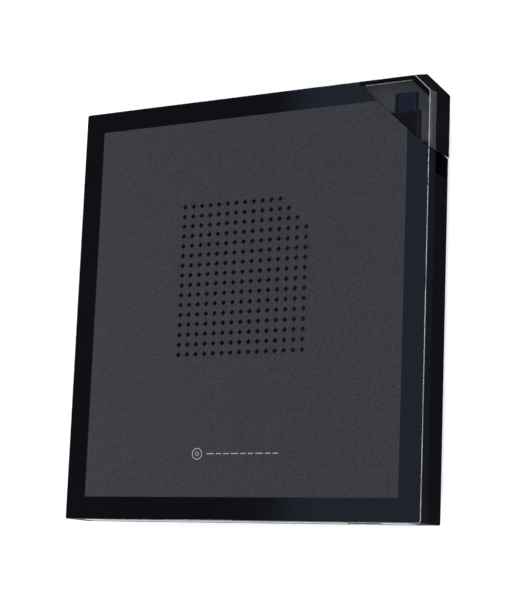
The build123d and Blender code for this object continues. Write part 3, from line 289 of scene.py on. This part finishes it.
MATERIALS = {
    "gloss_black": lid_gloss(),
    "strip_black": strip_plastic(),
    "polished_edge": polished_edge(),
    "side_black": side_plastic(),
    "painted_shade_black": painted_shade_black(),
    "panel": panel_plastic(),
    "smoked_clear": smoked_clear(),
    "smoked_wall": smoked_wall(),
    "base": base_plastic(),
    "rubber": rubber(),
    "cable": rubber("cable_jacket", (0.011, 0.011, 0.012)),
    "overmould": finished(
        "plug_body", (0.004, 0.0046, 0.0065), 0.42, (0.003, 0.1), (0.006, 0.05), (0.0003, 0.00001), specular=0.2
    ),
    "plug_metal": steel("plug_metal", (0.085, 0.11, 0.165), 0.35, (1, 1, 1)),
    "screws": steel("screw_steel", (0.42, 0.42, 0.43), 0.3, (1, 1, 1)),
    "steel": steel("sheet_steel", (0.5, 0.51, 0.52), 0.34),
    "rail_steel": steel("rail_steel", (0.45, 0.46, 0.47), 0.28),
    "pcb": solder_mask(),
    "chips": finished(
        "chip_epoxy", (0.02, 0.02, 0.022), 0.5, (0.001, 0.12), (0.003, 0.06), (0.0002, 0.00001)
    ),
    "connector": finished(
        "connector_plastic", (0.016, 0.016, 0.017), 0.45, (0.002, 0.1), (0.003, 0.06), (0.0003, 0.00001)
    ),
    "flex": finished(
        "flex_film", (0.32, 0.12, 0.025), 0.25, (0.002, 0.15), (0.004, 0.05), (0.0008, 0.00002), (12, 1, 1),
        coat=0.4
    ),
    "tray_plastic": tray_plastic(),
    "bezel": finished(
        "bezel_gloss", (0.006, 0.006, 0.0075), 0.16, (0.01, 0.1), (0.02, 0.04), (0.008, 0.000004), specular=0.4
    ),
    "light": light_plastic(),
    "cover_plate": finished(
        "painted_steel", (0.02, 0.02, 0.022), 0.42, (0.003, 0.1), (0.006, 0.06), (0.0003, 0.00002), specular=0.4
    ),
    "frame_metal": finished(
        "die_cast", (0.42, 0.42, 0.43), 0.48, (0.002, 0.12), (0.004, 0.08), (0.0006, 0.00004), metallic=1.0
    ),
    "copper": copper(),
    "hub": finished(
        "hub_plastic", (0.09, 0.09, 0.095), 0.38, (0.002, 0.08), (0.003, 0.05), (0.0003, 0.00001)
    ),
    "cradle": finished(
        "cradle_plastic", (0.22, 0.22, 0.235), 0.5, (0.003, 0.05), (0.006, 0.05), (0.0004, 0.00001),
        specular=0.3
    ),
    "pad": rubber("pad_rubber", (0.02, 0.02, 0.021)),
    "magnet": finished("ferrite", (0.05, 0.05, 0.052), 0.6, (0.001, 0.2), (0.002, 0.08)),
    "rod": steel("ground_steel", (0.62, 0.62, 0.63), 0.16, (1, 1, 1)),
    "sled": finished(
        "sled_alloy", (0.33, 0.33, 0.34), 0.42, (0.002, 0.12), (0.003, 0.07), (0.0005, 0.00003), metallic=1.0
    ),
    "lens": lens_glass(),
    "print": printed_grey(),
}


def paint(piece, slot):
    """Gives a piece one material in all of its slots."""
    piece.data.materials.clear()
    piece.data.materials.append(MATERIALS[slot])


for entry in frame["record"]["subparts"]:
    node = nodes[entry["node"]]
    for index in range(max(1, len(node.data.materials))):
        if index < len(node.data.materials):
            node.data.materials[index] = MATERIALS[entry["material_slot"]]
        else:
            node.data.materials.append(MATERIALS[entry["material_slot"]])


def paint_faces(node, slot, wanted):
    """Gives the faces of a CAD node that are wanted, by normal and centre, a material of their own."""
    mesh = nodes[node].data
    mesh.materials.append(MATERIALS[slot])
    for face in mesh.polygons:
        if wanted(face.normal, face.center):
            face.material_index = len(mesh.materials) - 1


def on_wall(normal, centre):
    """Side walls, and what leans no further than they do."""
    return abs(normal.z) < 0.45


def on_right(normal, centre):
    return normal.x > 0.9


def on_chamfer(normal, centre):
    return normal.x > 0.5 and normal.y > 0.5


def on_split(normal, centre):
    return normal.x < -0.5 and normal.y < -0.5


def in_notch(normal, centre):
    """Faces of the cradle that are seen through the finger notch, which get the painted shade."""
    return normal.x > 0.5 and centre.y < cover_low.y + NOTCH_REACH


def on_edge(normal, centre):
    """Rounded edge between the lid's face and its walls."""
    return centre.z > lid_high.z - EDGE_HEIGHT and 0.3 < normal.z < 0.93


paint_faces("top_shell", "strip_black", on_wall)
paint_faces("corner_cover", "smoked_wall", on_right)
# Painted shade: dead black on the chamfer and on the split line's faces of the cover and skirt.
for shell in ("corner_cover", "corner_skirt"):
    paint_faces(shell, "painted_shade_black", on_chamfer)
    paint_faces(shell, "painted_shade_black", on_split)
# Painted shade: dead black on the cradle's faces seen through the finger notch.
paint_faces("plug_cradle", "painted_shade_black", in_notch)
for shell in ("top_shell", "corner_cover"):
    paint_faces(shell, "polished_edge", on_edge)


# ---------------------------------------------------------------- mesh helpers
def mesh_piece(name, points, faces, slot, body, smooth=None):
    """New piece from points and faces, riding on a body."""
    mesh = bpy.data.meshes.new(name)
    mesh.from_pydata([tuple(p) for p in points], [], faces)
    mesh.validate()
    piece = bpy.data.objects.new(name, mesh)
    bpy.context.scene.collection.objects.link(piece)
    paint(piece, slot)
    clean = bmesh.new()
    clean.from_mesh(mesh)
    bmesh.ops.recalc_face_normals(clean, faces=clean.faces)
    clean.to_mesh(mesh)
    clean.free()
    if smooth is not None:
        mesh.shade_smooth()
        mesh.set_sharp_from_angle(angle=math.radians(smooth))
    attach(piece, body)
    return piece


def prism(outline, low, high):
    """Points and faces of an upright prism over an outline of (x, y) points."""
    count = len(outline)
    points = [Vector((x, y, low)) for x, y in outline] + [Vector((x, y, high)) for x, y in outline]
    faces = [tuple(range(count - 1, -1, -1)), tuple(range(count, 2 * count))]
    faces += [(k, (k + 1) % count, count + (k + 1) % count, count + k) for k in range(count)]
    return points, faces


def join_shapes(shapes):
    """Points and faces of several shapes as one list each."""
    points, faces = [], []
    for some_points, some_faces in shapes:
        start = len(points)
        points += some_points
        faces += [tuple(k + start for k in face) for face in some_faces]
    return points, faces


def ring_outline(radius, steps, centre):
    """Points of a circle."""
    turns = [2 * math.pi * k / steps for k in range(steps)]
    return [(centre[0] + radius * math.cos(turn), centre[1] + radius * math.sin(turn)) for turn in turns]


# ---------------------------------------------------------------- lid print
def lid_print():
    """Generic printed mark: a disc symbol beside a row of bars."""
    centre_y = panel_low.y + MARK_UP
    low = panel_high.z - MARK_SUNK
    high = panel_high.z + MARK_PROUD
    disc = (MARK_LEFT + DISC_RADIUS, centre_y)
    shapes = []
    steps = 40
    for outer, inner in ((DISC_RADIUS, 0.00172), (0.00075, 0.0005)):
        outside = ring_outline(outer, steps, disc)
        inside = ring_outline(inner, steps, disc)
        for k in range(steps):
            after = (k + 1) % steps
            shapes.append(prism([outside[k], outside[after], inside[after], inside[k]], low, high))
    start = MARK_LEFT + BAR_START
    for k in range(9):
        end = start + (BAR_WIDTH if k % 3 else LONG_BAR)
        front = centre_y - BAR_HALF
        back = centre_y + BAR_HALF
        shapes.append(prism([(start, front), (end, front), (end, back), (start, back)], low, high))
        start = end + BAR_GAP
    points, faces = join_shapes(shapes)
    return mesh_piece("lid_print", points, faces, "print", "housing")


lid_print()


# ---------------------------------------------------------------- lead screw
def lead_screw():
    """Ground screw with a rolled helical thread and plain ends."""
    low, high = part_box("lead_screw")
    direction = Vector((-1, -1, 0)).normalized()
    middle = (low + high) / 2
    length = (high - low).x * math.sqrt(2) - DIAGONAL_SPARE
    start = middle - direction * (length / 2 + END_PLAY)
    across = Vector((0, 0, 1))
    beside = direction.cross(across)
    points, faces = [], []
    around = 20
    slices = 260
    for s in range(slices + 1):
        along = length * s / slices
        end = min(along, length - along)
        for k in range(around):
            angle = 2 * math.pi * k / around
            phase = (along / THREAD_PITCH - k / around) % 1.0
            groove = max(0.0, 1 - abs(phase - 0.5) / 0.22)
            radius = JOURNAL_RADIUS if end < JOURNAL_LENGTH else SCREW_RADIUS - THREAD_DEPTH * groove
            spoke = across * (radius * math.cos(angle)) + beside * (radius * math.sin(angle))
            points.append(start + direction * along + spoke)
    for s in range(slices):
        for k in range(around):
            after = (k + 1) % around
            near = s * around
            far = near + around
            faces.append((near + k, near + after, far + after, far + k))
    faces.append(tuple(range(around)))
    faces.append(tuple(range(slices * around + around - 1, slices * around - 1, -1)))
    piece = mesh_piece("lead_screw_thread", points, faces, "rod", "lead_screw", smooth=40)
    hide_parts("lead_screw")


lead_screw()


# ---------------------------------------------------------------- floor, lights, camera
def floor():
    """Pale studio sweep, well past the view."""
    bpy.ops.mesh.primitive_grid_add(x_subdivisions=8, y_subdivisions=8, size=FLOOR_SIZE, location=(0, 0, 0))
    piece = bpy.context.object
    piece.name = "studio_floor"
    made = new_material("studio_floor", (0.93, 0.93, 0.935), 0.7, specular=0.1)
    piece.data.materials.append(finish_material(made, (0.5, 0.01), (0.5, 0.05)))


def card(name, spot, target, width, height, radiance, colour=(1, 1, 1)):
    """Soft light panel facing a target, its strength given as radiance."""
    lamp = bpy.data.lights.new(name, "AREA")
    lamp.shape = "RECTANGLE"
    lamp.size = width
    lamp.size_y = height
    lamp.energy = radiance * math.pi * width * height
    lamp.color = colour
    holder = bpy.data.objects.new(name, lamp)
    bpy.context.scene.collection.objects.link(holder)
    holder.location = spot
    holder.rotation_mode = "QUATERNION"
    holder.rotation_quaternion = (Vector(target) - Vector(spot)).to_track_quat("-Z", "Y")


def studio():
    """Pale world, a strip light on each side, a key by the camera and a bluish card overhead."""
    world = bpy.data.worlds.new("studio")
    world.use_nodes = True
    world.node_tree.nodes["Background"].inputs["Color"].default_value = (0.86, 0.9, 1.0, 1)
    world.node_tree.nodes["Background"].inputs["Strength"].default_value = 0.1
    bpy.context.scene.world = world
    card("right_strip", (1.25, 0.25, 0.74), (0, 0, 0), 1.9, 0.3, 15)
    card("left_strip", (-1.5, -0.1, 0.6), (0, 0, 0), 1.6, 0.5, 10)
    card("front_strip", (0.1, -1.5, 0.6), (0, 0, 0), 1.6, 0.5, 9)
    card("rear_strip", (0.0, 1.5, 0.6), (0, 0, 0), 1.6, 0.5, 9)
    card("key", (0.55, -0.4, 1.5), (0, 0, 0), 0.8, 0.8, 4.5)
    card("overhead", (0.10, 0.0, 1.3), (0.10, 0, 0), 1.6, 1.8, 0.47, (0.47, 0.62, 1.0))
    settings = bpy.context.scene.view_settings
    settings.view_transform = "Standard"
    settings.look = "None"


def camera():
    """Long lens over the lid's right side, with the drive's rear edge upward in the picture."""
    lens = bpy.data.cameras.new("camera")
    lens.sensor_width = 36
    lens.lens = 105.5
    lens.clip_start = 0.05
    lens.clip_end = 20
    holder = bpy.data.objects.new("camera", lens)
    bpy.context.scene.collection.objects.link(holder)
    holder.location = (0.3053, -0.10205, 0.5277)
    back = Vector((0.4951, -0.1682, 0.8524)).normalized()
    right = Vector((0.0511, 0.9850, 0.1647)).cross(back).normalized()
    up = back.cross(right)
    holder.rotation_mode = "QUATERNION"
    holder.rotation_quaternion = Matrix((right, up, back)).transposed().to_quaternion()
    bpy.context.scene.camera = holder


floor()
studio()
camera()
